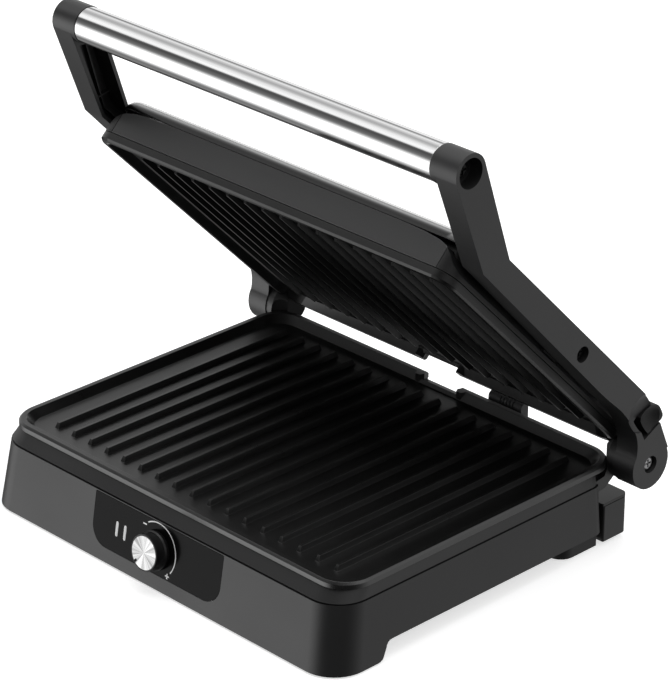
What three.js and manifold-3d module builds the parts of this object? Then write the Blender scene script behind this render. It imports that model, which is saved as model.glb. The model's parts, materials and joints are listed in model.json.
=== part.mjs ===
// Panini press: a contact grill with a flared base, a floating lid between two arms, and a tube handle.
// Units are millimetres and +Z is up. X runs across the plates and -Y is the front, where the knob is.
// The origin is on the table, under the middle of the bounding box. The lid stands part open.

import * as THREE from 'three';
import { mergeVertices } from 'three/addons/utils/BufferGeometryUtils.js';
import Module from 'manifold-3d';

const wasm = await Module();
wasm.setup();

// ---- Driving dimensions. Y is measured back from the front edge of the lower plate. ----

const CENTRE_Y = 117.8;
const FIT_GAP = 0.3;
const CORNER_STEPS = 5;
const ROUND_STEPS = 24;

// Grill plates
const PLATE_WIDTH = 300;
const PLATE_DEPTH = 234;
const PLATE_CORNER = 20;
const RIM_HEIGHT = 4.4;
const RIM_WIDTH = 4.6;
const RIM_CHAMFER = 1.4;
const RIM_BOTTOM = 51.5;
const FLOOR_DROP = 5.4;
const FLOOR_THICKNESS = 3.4;
const WALL_DRAFT = 3.6;
const PAN_INSET = 5.8;
const RIB_COUNT = 17;
const RIB_PITCH = 15.44;
const RIB_HEIGHT = 4.0;
const RIB_BASE = 3.6;
const RIB_TOP = 1.9;
const RIB_MARGIN = 18.5;
const RIB_END_SLOPE = 1.8;
const SPOUT_LEFT = -12.5;
const SPOUT_RIGHT = 18.5;
const SPOUT_POST = 5;
const ROD_HALF_SPAN = 95;
const ROD_BEND = 28;
const HEATER_RADIUS = 3.2;
const HEATER_STEPS = 34;
const LOWER_PAN_BOTTOM = RIM_BOTTOM + RIM_HEIGHT - FLOOR_DROP - FLOOR_THICKNESS;
const LOWER_HEATER_Z = LOWER_PAN_BOTTOM - FIT_GAP - HEATER_RADIUS;
const REFLECTOR_HALF_WIDTH = 134;
const REFLECTOR_CORNER = 12;
const REFLECTOR_SHEET = 0.9;

// Base housing, frame, bottom cover and feet
const SHELL_BOTTOM = 1.2;
const SHELL_TOP = 43.6;
const SHELL_HALF_WIDTH = 151.4;
const SHELL_FRONT = -6.3;
const SHELL_REAR = 217.5;
const SHELL_WALL = 2.6;
const SHELL_FRONT_CORNER = 22;
const SHELL_REAR_CORNER = 8;
const FRONT_FLARE = 0.17;
const SIDE_FLARE = 0.09;
const SIDE_EDGE_HEIGHT = 12.5;
const SIDE_NOTCH_FOOT = 22;
const SIDE_NOTCH_START = 26.5;
const SIDE_NOTCH_RISE = 30.5;
const SIDE_NOTCH_ROUND = 4;
const FRAME_GROOVE = 0.8;
const FRAME_TOP = RIM_BOTTOM - 0.4;
const FRAME_SKIRT_BOTTOM = 35;
const COVER_BOTTOM = 10.4;
const COVER_THICKNESS = 2.4;
const FRONT_FOOT_X = 134;
const FRONT_FOOT_Y = 6;
const FRONT_FOOT_POST = 11;
const REAR_FOOT_X = 139;
const REAR_FOOT_Y = 194;
const REAR_FOOT_RADIUS = 10;
const FOOT_RADIUS = 8;
const FOOT_TOP = SHELL_BOTTOM - FIT_GAP;

// Control panel, lamps, thermostat and knob
const PANEL_HALF_WIDTH = 56.8;
const PANEL_TOP = 43.1;
const PANEL_BOTTOM = 10.2;
const PANEL_CORNER = 13;
const PANEL_TOP_CORNER = 1.2;
const PANEL_THICKNESS = 1.6;
const PANEL_TILT = Math.atan(FRONT_FLARE);
const PANEL_STRETCH = 1 / Math.cos(PANEL_TILT);
const LAMP_X = [-35.3, -28.1];
const LAMP_Z = 25.5;
const LAMP_WIDTH = 1.5;
const LAMP_HEIGHT = 8.6;
const LAMP_DEPTH = 0.9;
const KNOB_Z = 25.3;
const KNOB_Y = SHELL_FRONT - FRONT_FLARE * (SHELL_TOP - KNOB_Z);
const KNOB_RADIUS = 12.4;
const KNOB_LENGTH = 9.8;
const KNOB_CAP_RADIUS = 10.8;
const KNOB_FACE_THICKNESS = 1.2;
const SHAFT_RADIUS = 3;
const THERMOSTAT_DEPTH = 16;
const THERMOSTAT_RADIUS = 8.8;
const PANEL_HIGH = (PANEL_TOP - KNOB_Z) * PANEL_STRETCH;
const PANEL_LOW = (PANEL_BOTTOM - KNOB_Z) * PANEL_STRETCH;

// Rear of the base
const TRAY_HALF_WIDTH = 151.5;
const TRAY_FRONT = 218.8;
const TRAY_REAR = 240.5;
const TRAY_BOTTOM = 3;
const TRAY_TOP = 27.6;
const TRAY_WALL = 1.8;
const TRAY_CORNER = 4;
const TRAY_MOUTH = 112;
const TRAY_GRIP = [98, 142];
const SHELF_BOTTOM = TRAY_TOP + 0.4;
const SHELF_THICKNESS = 1.6;
const SHELF_TOP = SHELF_BOTTOM + SHELF_THICKNESS;
const GLAND_X = -92;
const GLAND_Z = 36.6;
const BOOT_X0 = 38;
const BOOT_X1 = 66;
const BOOT_HALF = 3.5;
const BOOT_RIBS = 5;
const BOOT_RIB_PITCH = 2.6;

// Hinges, arms and handle
const HINGE_Y = 239;
const HINGE_Z = 56;
const WEB_OUTER = 148;
const WEB_BOTTOM = 36;
const KNUCKLE_RADIUS = 15.3;
const KNUCKLE_TIP_RADIUS = 9.5;
const KNUCKLE_END = 140.5;
const KNUCKLE_SHOULDER = 147.5;
const ARM_INNER = 153;
const ARM_OUTER = 169.3;
const ARM_SKIN = 2.6;
const POCKET_DEPTH = ARM_OUTER - ARM_SKIN;
const CHANNEL_RIB_HEIGHT = 3.2;
const DISC_RADIUS = 16;
const SCREW_RADIUS = 4;
const SCREW_HEAD_RADIUS = 4.8;
const SCREW_HEAD_X = 164.6;
const SCREW_TIP_X = 167.2;
const RECESS_RADIUS = 5.6;
const BEND_FRONT = [87.5, 229.8];
const BEND_REAR = [108.6, 232.2];
const HANDLE_Y = 75.7;
const HANDLE_Z = 293.8;
const HANDLE_BOSS_RADIUS = 11.8;
const HANDLE_BORE_RADIUS = 9.1;
const HANDLE_SOCKET_RADIUS = 8.6;
const HANDLE_RECESS_X = 160;
const HANDLE_TUBE_RADIUS = 11.5;
const HANDLE_TUBE_WALL = 1.2;
const HANDLE_HALF_LENGTH = 148.7;
const TIE_ROD_RADIUS = 2.5;
const TIE_ROD_HALF_LENGTH = 151.5;
const PIVOT_Y = 173.3;
const PIVOT_Z = 151.8;
const PIVOT_RADIUS = 3.6;
const PIVOT_HEAD_RADIUS = 4.8;
const PIVOT_HEAD_X = 163.6;
const PIVOT_TIP_X = 141;

// Release lever in the right arm: its directions are [Y, Z] pairs in the arm's plane
const RELEASE_ALONG = [0.448, -0.894];
const RELEASE_OUT = [0.894, 0.448];
const RELEASE_Y = 240.4;
const RELEASE_Z = 87.6;
const RELEASE_HALF = 7.2;
const RELEASE_X0 = 157;
const RELEASE_X1 = 168.6;
const RELEASE_REACH = 7.4;
const SCOOP_CENTRE = [230, 93.5];
const SCOOP_RADIUS = 12.5;
const SCOOP_DEPTH = 4.2;

// Lid, drawn closed with the hinge's axis as its origin
const LID_OPEN = 45.4;
const LID_FRONT = -231.5;
const LID_REAR = -4;
const LID_CORNER = 12;
const LID_RIM_BOTTOM = 1.3;
const LID_RIM_HEIGHT = 5.7;
const LID_FRAME_BOTTOM = 7.4;
const LID_FRAME_TOP = 24.8;
const LID_COVER_TOP = 34;
const LID_COVER_CORNER = 18;
const LID_PIVOT_Y = -114.4;
const LID_PIVOT_Z = 20.6;
const LID_WALL = 2.6;
const LID_INNER_WALL = 8;
const LID_BOSS_RADIUS = 7.5;
const PIVOT_BOSS_BOTTOM = 11.4;
const FASCIA_HALF_WIDTH = 138;
const FASCIA_THICKNESS = 2.4;
const COVER_ROLL = 9;
const COVER_SHEET = 1.2;
const KNUCKLE_CLEARANCE = KNUCKLE_RADIUS + 0.9;
const LID_PAN_TOP = LID_RIM_BOTTOM + FLOOR_DROP + FLOOR_THICKNESS;
const UPPER_HEATER_Z = LID_PAN_TOP + FIT_GAP + HEATER_RADIUS;

// The fall of the lid's shoulder towards each side, as [X, Z] from the flat to the side edge
const SHOULDER = [[100, 24.8], [118, 24.4], [130, 23.2], [137, 21.2], [142, 17.4], [146, 13], [151, 9.4]];

// ---- Materials ----

const charcoal = new THREE.MeshStandardMaterial({ color: 0x3b3b3d, roughness: 0.5, metalness: 0 });
const darkPlastic = new THREE.MeshStandardMaterial({ color: 0x242426, roughness: 0.6, metalness: 0 });
const glossBlack = new THREE.MeshStandardMaterial({ color: 0x1b1b1d, roughness: 0.18, metalness: 0 });
const nonStick = new THREE.MeshStandardMaterial({ color: 0x17181a, roughness: 0.42, metalness: 0.2 });
const brushedSteel = new THREE.MeshStandardMaterial({ color: 0xc9cacc, roughness: 0.3, metalness: 1 });
const zincSteel = new THREE.MeshStandardMaterial({ color: 0x9b9da0, roughness: 0.4, metalness: 1 });
const rubber = new THREE.MeshStandardMaterial({ color: 0x141414, roughness: 0.9, metalness: 0 });
const lampLens = new THREE.MeshStandardMaterial({ color: 0xe6e6e2, roughness: 0.25, metalness: 0 });
const phenolic = new THREE.MeshStandardMaterial({ color: 0x5a4632, roughness: 0.7, metalness: 0 });

// ---- Solids: closed geometries joined and cut by manifold-3d ----

function signedVolume(positions, index) {
  const a = new THREE.Vector3();
  const b = new THREE.Vector3();
  const c = new THREE.Vector3();
  let volume = 0;
  for (let i = 0; i < index.length; i += 3) {
    a.fromArray(positions, index[i] * 3);
    b.fromArray(positions, index[i + 1] * 3);
    c.fromArray(positions, index[i + 2] * 3);
    volume += a.dot(b.cross(c));
  }
  return volume;
}

function solid(geometry) {
  const bare = geometry.clone();
  bare.deleteAttribute('normal');
  bare.deleteAttribute('uv');
  const merged = mergeVertices(bare, 1e-4);
  const positions = merged.attributes.position.array;
  const index = Uint32Array.from(merged.index.array);
  if (signedVolume(positions, index) < 0) {
    for (let i = 0; i < index.length; i += 3) {
      [index[i + 1], index[i + 2]] = [index[i + 2], index[i + 1]];
    }
  }
  const mesh = new wasm.Mesh({
    numProp: 3,
    vertProperties: new Float32Array(positions),
    triVerts: index,
  });
  return new wasm.Manifold(mesh);
}

function join(...solids) {
  return solids.reduce((whole, piece) => whole.add(piece));
}

function cut(body, ...tools) {
  return tools.reduce((whole, tool) => whole.subtract(tool), body);
}

function geometryOf(body) {
  const mesh = body.getMesh();
  const geometry = new THREE.BufferGeometry();
  geometry.setAttribute('position', new THREE.BufferAttribute(new Float32Array(mesh.vertProperties), 3));
  geometry.setIndex(new THREE.BufferAttribute(new Uint32Array(mesh.triVerts), 1));
  geometry.computeVertexNormals();
  return geometry;
}

// ---- Outlines ----

// A rectangle with one radius on its two low-Y corners and another on its two high-Y corners.
function roundedBox(x0, x1, y0, y1, lowRadius, highRadius = lowRadius) {
  const shape = new THREE.Shape();
  shape.moveTo(x0 + lowRadius, y0);
  shape.lineTo(x1 - lowRadius, y0);
  shape.absarc(x1 - lowRadius, y0 + lowRadius, lowRadius, -Math.PI / 2, 0, false);
  shape.lineTo(x1, y1 - highRadius);
  shape.absarc(x1 - highRadius, y1 - highRadius, highRadius, 0, Math.PI / 2, false);
  shape.lineTo(x0 + highRadius, y1);
  shape.absarc(x0 + highRadius, y1 - highRadius, highRadius, Math.PI / 2, Math.PI, false);
  shape.lineTo(x0, y0 + lowRadius);
  shape.absarc(x0 + lowRadius, y0 + lowRadius, lowRadius, Math.PI, Math.PI * 1.5, false);
  return shape;
}

function polygon(points) {
  return new THREE.Shape(points.map(([x, y]) => new THREE.Vector2(x, y)));
}

function disc(x, y, radius) {
  const shape = new THREE.Shape();
  shape.absarc(x, y, radius, 0, Math.PI * 2, false);
  return shape;
}

// The outline of a plate, drawn in from its edge by an inset.
function plateOutline(inset, front = 0, rear = PLATE_DEPTH, frontCorner = PLATE_CORNER) {
  const half = PLATE_WIDTH / 2 - inset;
  return roundedBox(-half, half, front + inset, rear - inset, frontCorner - inset, PLATE_CORNER - inset);
}

// ---- Prisms along Z, X and Y, and turned bodies ----

function prismZ(shape, z0, z1, steps = CORNER_STEPS) {
  const geometry = new THREE.ExtrudeGeometry(shape, {
    depth: z1 - z0,
    bevelEnabled: false,
    curveSegments: steps,
  });
  return geometry.translate(0, 0, z0);
}

// A prism whose outline is drawn in YZ and which runs along X.
function prismX(shape, x0, x1, steps = CORNER_STEPS) {
  const geometry = prismZ(shape, x0, x1, steps);
  const turn = new THREE.Matrix4().makeBasis(
    new THREE.Vector3(0, 1, 0),
    new THREE.Vector3(0, 0, 1),
    new THREE.Vector3(1, 0, 0),
  );
  return geometry.applyMatrix4(turn);
}

// A prism whose outline is drawn in XZ and which runs along Y.
function prismY(shape, y0, y1, steps = CORNER_STEPS) {
  return prismZ(shape, 0, y1 - y0, steps).rotateX(Math.PI / 2).translate(0, y1, 0);
}

// A prism with chamfered ends, drawn in by the chamfer so that it keeps its outline.
function chamferedPrismZ(shape, z0, z1, chamfer, segments = 1) {
  const geometry = new THREE.ExtrudeGeometry(shape, {
    depth: z1 - z0 - 2 * chamfer,
    bevelEnabled: true,
    bevelSize: chamfer,
    bevelThickness: chamfer,
    bevelOffset: -chamfer,
    bevelSegments: segments,
    curveSegments: CORNER_STEPS,
  });
  return geometry.translate(0, 0, z0 + chamfer);
}

function boxAt(x0, x1, y0, y1, z0, z1) {
  const geometry = new THREE.BoxGeometry(x1 - x0, y1 - y0, z1 - z0);
  return geometry.translate((x0 + x1) / 2, (y0 + y1) / 2, (z0 + z1) / 2);
}

// A body turned about the X axis at (y, z). Its profile is a list of [x, radius] from end to end.
function turnedX(profile, y, z, steps = ROUND_STEPS) {
  const points = [];
  points.push(new THREE.Vector2(0, profile[0][0]));
  for (const [x, radius] of profile) {
    points.push(new THREE.Vector2(radius, x));
  }
  points.push(new THREE.Vector2(0, profile[profile.length - 1][0]));
  const geometry = new THREE.LatheGeometry(points, steps);
  return geometry.rotateZ(-Math.PI / 2).translate(0, y, z);
}

function rodX(x0, x1, radius, y, z, steps = ROUND_STEPS) {
  return turnedX([[x0, radius], [x1, radius]], y, z, steps);
}

// A ring along X, open at both ends.
function tubeX(x0, x1, outer, inner, y, z, steps = ROUND_STEPS) {
  const rod = solid(rodX(x0, x1, outer, y, z, steps));
  return cut(rod, solid(rodX(x0 - 1, x1 + 1, inner, y, z, steps)));
}

// Scales a prism's outline from 1 at one height to (scaleX, scaleY) at another, about x = 0 and keepY.
function taper(geometry, zFrom, zTo, keepY, scaleX, scaleY) {
  const position = geometry.attributes.position;
  for (let i = 0; i < position.count; i += 1) {
    const part = (position.getZ(i) - zFrom) / (zTo - zFrom);
    position.setX(i, position.getX(i) * (1 + (scaleX - 1) * part));
    position.setY(i, keepY + (position.getY(i) - keepY) * (1 + (scaleY - 1) * part));
  }
  return geometry;
}

// Widens a prism towards the table: the sides by one slope and the front by another.
function flare(geometry) {
  const height = SHELL_TOP - SHELL_BOTTOM;
  const wide = 1 + (SIDE_FLARE * height) / SHELL_HALF_WIDTH;
  const deep = 1 + (FRONT_FLARE * height) / (SHELL_REAR - SHELL_FRONT);
  return taper(geometry, SHELL_TOP, SHELL_BOTTOM, SHELL_REAR, wide, deep);
}

// The housing's outline at its top edge, drawn in by an inset.
function shellOutline(inset) {
  const half = SHELL_HALF_WIDTH - inset;
  const low = SHELL_FRONT_CORNER - inset;
  const high = Math.max(SHELL_REAR_CORNER - inset, 2);
  return roundedBox(-half, half, SHELL_FRONT + inset, SHELL_REAR - inset, low, high);
}

// ---- Scene graph helpers ----

const group = new THREE.Group();
const base = new THREE.Group();
base.position.y = -CENTRE_Y;
group.add(base);
const lid = new THREE.Group();
lid.position.set(0, HINGE_Y - CENTRE_Y, HINGE_Z);
lid.rotation.x = THREE.MathUtils.degToRad(-LID_OPEN);
group.add(lid);
const panelFrame = new THREE.Group();
panelFrame.position.set(0, KNOB_Y - CENTRE_Y, KNOB_Z);
panelFrame.rotation.x = Math.PI / 2 - PANEL_TILT;
group.add(panelFrame);

function place(parent, name, body, material) {
  const mesh = new THREE.Mesh(geometryOf(body), material);
  mesh.name = name;
  parent.add(mesh);
}

const SIDES = [['left', -1], ['right', 1]];

// Low and high X of a span that is stated for the right side.
function span(side, inner, outer) {
  return side > 0 ? [inner, outer] : [-outer, -inner];
}

// ---- Grill plates: rim, pan, ribs along Y and a pouring spout in the back of the rim ----

// A rib with sloping flanks and sloping ends, standing up from z.
function rib(x, y0, y1, z) {
  const section = polygon([
    [x - RIB_BASE / 2, z],
    [x + RIB_BASE / 2, z],
    [x + RIB_TOP / 2, z + RIB_HEIGHT],
    [x - RIB_TOP / 2, z + RIB_HEIGHT],
  ]);
  const geometry = new THREE.ExtrudeGeometry(section, { depth: y1 - y0, bevelEnabled: false });
  geometry.rotateX(Math.PI / 2);
  const position = geometry.attributes.position;
  for (let i = 0; i < position.count; i += 1) {
    const along = -position.getY(i);
    const height = (position.getZ(i) - z) / RIB_HEIGHT;
    const middle = (y1 - y0) / 2;
    const inward = RIB_END_SLOPE * height * Math.sign(middle - along);
    position.setY(i, y0 + along + inward);
  }
  return geometry;
}

// A plate that faces +Z, with its rim between two heights and its spout at high Y.
function grillPlate(front, rear, corner, rimBottom, rimTop, hasLip) {
  const floor = rimTop - FLOOR_DROP;
  const outline = (inset) => plateOutline(inset, front, rear, corner);
  const rim = join(
    solid(prismZ(outline(0), rimBottom, rimTop - RIM_CHAMFER)),
    solid(chamferedPrismZ(outline(0), rimTop - 3 * RIM_CHAMFER, rimTop, RIM_CHAMFER)),
  );
  const panTop = Math.min(rimBottom, floor) + 1;
  const pan = solid(prismZ(outline(PAN_INSET), floor - FLOOR_THICKNESS, panTop));
  const draft = 1 - (2 * WALL_DRAFT) / (PLATE_WIDTH - 2 * RIM_WIDTH);
  const deepDraft = 1 - (2 * WALL_DRAFT) / (rear - front - 2 * RIM_WIDTH);
  const well = prismZ(outline(RIM_WIDTH), floor, rimTop);
  const hollow = solid(taper(well, rimTop, floor, (front + rear) / 2, draft, deepDraft));
  const spoutFront = rear - RIM_WIDTH - 2;
  const spout = solid(boxAt(SPOUT_LEFT, SPOUT_RIGHT, spoutFront, rear + 1, floor, rimTop + 1));
  const lip = solid(boxAt(SPOUT_LEFT - 2, SPOUT_RIGHT + 2, rear - PAN_INSET - 2, rear - 0.6,
    floor - FLOOR_THICKNESS, rimBottom + 1));
  const blank = hasLip ? join(rim, pan, lip) : join(rim, pan);
  let plate = cut(blank, hollow, spout);
  for (const x of [SPOUT_LEFT - SPOUT_POST / 2, SPOUT_RIGHT + SPOUT_POST / 2]) {
    const post = prismZ(disc(x, rear - SPOUT_POST, SPOUT_POST / 2 + 1), floor - 0.2, rimTop, 3);
    plate = join(plate, solid(post));
  }
  for (let i = 0; i < RIB_COUNT; i += 1) {
    const x = (i - (RIB_COUNT - 1) / 2) * RIB_PITCH;
    plate = join(plate, solid(rib(x, front + RIB_MARGIN, rear - RIB_MARGIN, floor - 0.5)));
  }
  return plate;
}

// A heating rod bent into a long U, with its two cold ends turned up or down by a leg.
function heatingRod(y0, y1, z, leg) {
  const half = ROD_HALF_SPAN;
  const path = new THREE.CurvePath();
  const at = (x, y, rise = 0) => new THREE.Vector3(x, y, z + rise);
  const line = (from, to) => path.add(new THREE.LineCurve3(from, to));
  const bend = (from, via, to) => path.add(new THREE.QuadraticBezierCurve3(from, via, to));
  line(at(-half, y1, leg), at(-half, y1));
  line(at(-half, y1), at(-half, y0 + ROD_BEND));
  bend(at(-half, y0 + ROD_BEND), at(-half, y0), at(-half + ROD_BEND, y0));
  line(at(-half + ROD_BEND, y0), at(half - ROD_BEND, y0));
  bend(at(half - ROD_BEND, y0), at(half, y0), at(half, y0 + ROD_BEND));
  line(at(half, y0 + ROD_BEND), at(half, y1));
  line(at(half, y1), at(half, y1, leg));
  return path;
}

// A round rod swept along a path.
function sweptRod(path, radius, steps, sides) {
  return new THREE.ExtrudeGeometry(disc(0, 0, radius), {
    extrudePath: path,
    steps,
    bevelEnabled: false,
    curveSegments: sides,
  });
}

// ---- Base: housing, frame, bottom cover and feet ----


// The space under each side edge, between the front foot and the rear of the housing, seen from the side.
function sideNotch() {
  const shape = new THREE.Shape();
  const top = SIDE_EDGE_HEIGHT;
  shape.moveTo(SIDE_NOTCH_FOOT, -5);
  shape.lineTo(SIDE_NOTCH_FOOT, SHELL_BOTTOM);
  shape.quadraticCurveTo(SIDE_NOTCH_START, SHELL_BOTTOM, SIDE_NOTCH_START + 1, SHELL_BOTTOM + 3.5);
  shape.lineTo(SIDE_NOTCH_RISE - 1, top - SIDE_NOTCH_ROUND);
  shape.quadraticCurveTo(SIDE_NOTCH_RISE, top, SIDE_NOTCH_RISE + SIDE_NOTCH_ROUND, top);
  shape.lineTo(SHELL_REAR + 5, top);
  shape.lineTo(SHELL_REAR + 5, -5);
  return prismX(shape, -200, 200, 4);
}

// The control panel's outline in its own tilted plane, with the knob's axis as its origin.

function panelOutline(inset) {
  const half = PANEL_HALF_WIDTH - inset;
  const low = PANEL_LOW + inset;
  const high = PANEL_HIGH - inset;
  return roundedBox(-half, half, low, high, PANEL_CORNER - inset, PANEL_TOP_CORNER);
}

// Places a solid that was made in the panel's plane into the base's frame.
function fromPanel(geometry) {
  geometry.rotateX(Math.PI / 2 - PANEL_TILT);
  return geometry.translate(0, KNOB_Y, KNOB_Z);
}

function makeHousing() {
  const outer = solid(flare(prismZ(shellOutline(0), SHELL_BOTTOM, SHELL_TOP)));
  const inner = solid(flare(prismZ(shellOutline(SHELL_WALL), SHELL_BOTTOM - 1, SHELL_TOP + 1)));
  const window = solid(fromPanel(prismZ(panelOutline(0), -6, 6)));
  const cordHole = new THREE.CylinderGeometry(6, 6, 20, 14).translate(GLAND_X, SHELL_REAR, GLAND_Z);
  const webNotches = SIDES.map(([, side]) => {
    const [x0, x1] = span(side, KNUCKLE_END, WEB_OUTER + 2 * FIT_GAP);
    return solid(boxAt(x0, x1, 205, 225, WEB_BOTTOM - FIT_GAP, SHELL_TOP + 5));
  });
  return cut(outer, inner, solid(sideNotch()), window, solid(cordHole), ...webNotches);
}

// The bearing block of a hinge: a web from the frame's rear corner to a turned knuckle.
function hingeKnuckle(side) {
  const [x0, x1] = span(side, KNUCKLE_END + 0.6, WEB_OUTER);
  const web = polygon([
    [200, WEB_BOTTOM],
    [223, WEB_BOTTOM + 2],
    [231, 44],
    [244, 56],
    [236, 66],
    [228, 60],
    [222, 46.2],
    [200, 43],
  ]);
  const profile = [
    [KNUCKLE_END, KNUCKLE_TIP_RADIUS],
    [KNUCKLE_END + 2.5, KNUCKLE_TIP_RADIUS + 2.7],
    [KNUCKLE_SHOULDER, KNUCKLE_RADIUS],
    [ARM_INNER - FIT_GAP, KNUCKLE_RADIUS],
  ];
  const turned = side > 0 ? profile : profile.map(([x, radius]) => [-x, radius]).reverse();
  return join(solid(prismX(web, x0, x1)), solid(turnedX(turned, HINGE_Y, HINGE_Z)));
}

function makeFrame() {
  const slopeBottom = SHELL_TOP + FRAME_GROOVE;
  const slope = prismZ(roundedBox(-150.8, 150.8, -5.6, 216.5, 21.5, 8), slopeBottom, FRAME_TOP);
  taper(slope, slopeBottom, FRAME_TOP, 216.5, 149.4 / 150.8, 215.9 / 222.1);
  const skirt = prismZ(roundedBox(-148, 148, -2.9, 214.2, 19, 6), FRAME_SKIRT_BOTTOM, slopeBottom + 0.5);
  const opening = solid(prismZ(roundedBox(-138, 138, 12, 203, 12), 0, 80));
  const plateSpace = join(
    solid(prismZ(plateOutline(PAN_INSET - 0.5), RIM_BOTTOM - 5.2, RIM_BOTTOM + 1)),
    solid(prismZ(plateOutline(-0.5), RIM_BOTTOM - 0.35, RIM_BOTTOM + 30)),
  );
  const glandRoom = solid(boxAt(GLAND_X - 8, GLAND_X + 8, 190, 216, 30, SHELL_TOP + 0.4));
  let frame = join(solid(slope), solid(skirt));
  for (const [, side] of SIDES) {
    frame = join(frame, hingeKnuckle(side));
  }
  frame = cut(frame, opening, plateSpace, glandRoom);
  for (const [, side] of SIDES) {
    const [x0, x1] = span(side, 142.5, 160);
    frame = cut(frame, solid(rodX(x0, x1, SCREW_RADIUS + FIT_GAP, HINGE_Y, HINGE_Z, 20)));
  }
  return frame;
}

function makeBottomCover() {
  const outline = shellOutline(SHELL_WALL + 0.6);
  let cover = solid(flare(prismZ(outline, COVER_BOTTOM, COVER_BOTTOM + COVER_THICKNESS)));
  for (const [, side] of SIDES) {
    const rearX = side * REAR_FOOT_X;
    const [x0, x1] = span(side, REAR_FOOT_X - REAR_FOOT_RADIUS, REAR_FOOT_X + REAR_FOOT_RADIUS);
    const frontPost = disc(side * FRONT_FOOT_X, FRONT_FOOT_Y, FRONT_FOOT_POST);
    cover = join(
      cover,
      solid(prismZ(disc(rearX, REAR_FOOT_Y, REAR_FOOT_RADIUS), SHELL_BOTTOM, COVER_BOTTOM + 1, 10)),
      solid(boxAt(x0, x1, REAR_FOOT_Y, SHELL_REAR - 2, SHELL_BOTTOM, COVER_BOTTOM + 1)),
      solid(prismZ(frontPost, SHELL_BOTTOM, COVER_BOTTOM + 1, 10)),
    );
  }
  return cut(cover, solid(prismZ(roundedBox(-60, 60, 60, 62, 0.9), 0, 20, 2)));
}


function makeRubberFoot(x, y) {
  return solid(prismZ(disc(x, y, FOOT_RADIUS), 0, FOOT_TOP, 12));
}

place(base, 'base_housing', makeHousing(), charcoal);
place(base, 'base_frame', makeFrame(), charcoal);
place(base, 'bottom_cover', makeBottomCover(), darkPlastic);
for (const [name, side] of SIDES) {
  place(base, `front_${name}_foot`, makeRubberFoot(side * FRONT_FOOT_X, FRONT_FOOT_Y), rubber);
  place(base, `rear_${name}_foot`, makeRubberFoot(side * REAR_FOOT_X, REAR_FOOT_Y + 4), rubber);
}

// ---- Lower grill plate with its heating rod and reflector ----


function makeReflector(y0, y1, z, height) {
  const half = REFLECTOR_HALF_WIDTH;
  const sheet = REFLECTOR_SHEET;
  const inner = half - sheet;
  const innerOutline = roundedBox(-inner, inner, y0 + sheet, y1 - sheet, REFLECTOR_CORNER - sheet);
  const outer = solid(prismZ(roundedBox(-half, half, y0, y1, REFLECTOR_CORNER), z, z + height));
  return cut(outer, solid(prismZ(innerOutline, z + sheet, z + height + 1)));
}

// The lower reflector has a hole for each cold end of the rod.
function makeLowerReflector() {
  const holes = SIDES.map(([, side]) => {
    const [x0, x1] = span(side, ROD_HALF_SPAN - 5, ROD_HALF_SPAN + 5);
    return solid(boxAt(x0, x1, 184, 196, 30, 36));
  });
  return cut(makeReflector(16, 199, 33, 5), ...holes);
}

function makeHeater(y0, y1, z, leg) {
  return solid(sweptRod(heatingRod(y0, y1, z, leg), HEATER_RADIUS, HEATER_STEPS, 4));
}

const LOWER_RIM_TOP = RIM_BOTTOM + RIM_HEIGHT;
const lowerPlate = grillPlate(0, PLATE_DEPTH, PLATE_CORNER, RIM_BOTTOM, LOWER_RIM_TOP, true);
place(base, 'lower_grill_plate', lowerPlate, nonStick);
place(base, 'lower_heating_rod', makeHeater(40, 190, LOWER_HEATER_Z, -9), zincSteel);
place(base, 'lower_reflector', makeLowerReflector(), brushedSteel);

// ---- Control panel, lamps, thermostat and knob ----


function makePanel() {
  const plate = solid(prismZ(panelOutline(FIT_GAP), -PANEL_THICKNESS, 0));
  const shaftHole = solid(prismZ(disc(0, 0, SHAFT_RADIUS + 0.6), -9, 9, 10));
  const slots = LAMP_X.map((x) => solid(lampPrism(x, FIT_GAP, -9, 9)));
  return cut(plate, shaftHole, ...slots);
}

function lampPrism(x, grow, z0, z1) {
  const w = LAMP_WIDTH / 2 + grow;
  const h = LAMP_HEIGHT / 2 + grow;
  const y = LAMP_Z - KNOB_Z;
  return prismZ(roundedBox(x - w, x + w, y - h, y + h, w * 0.96), z0, z1, 3);
}

function makeThermostat() {
  const radius = THERMOSTAT_RADIUS;
  const drum = new THREE.CylinderGeometry(radius, radius, THERMOSTAT_DEPTH, 18);
  drum.rotateX(Math.PI / 2).translate(0, 0, -PANEL_THICKNESS - 2 - THERMOSTAT_DEPTH / 2);
  return cut(solid(drum), solid(prismZ(disc(0, 0, SHAFT_RADIUS + FIT_GAP), -12, 0, 10)));
}

const lampBack = -PANEL_THICKNESS - LAMP_DEPTH;
const board = boxAt(-42, -22, -8, 8, lampBack - 2.3, lampBack - 0.5);
place(panelFrame, 'control_panel', makePanel(), glossBlack);
place(panelFrame, 'power_lamp', solid(lampPrism(LAMP_X[0], 0, lampBack, 0.1)), lampLens);
place(panelFrame, 'ready_lamp', solid(lampPrism(LAMP_X[1], 0, lampBack, 0.1)), lampLens);
place(panelFrame, 'lamp_board', solid(board), phenolic);
place(panelFrame, 'thermostat_body', makeThermostat(), zincSteel);

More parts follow.
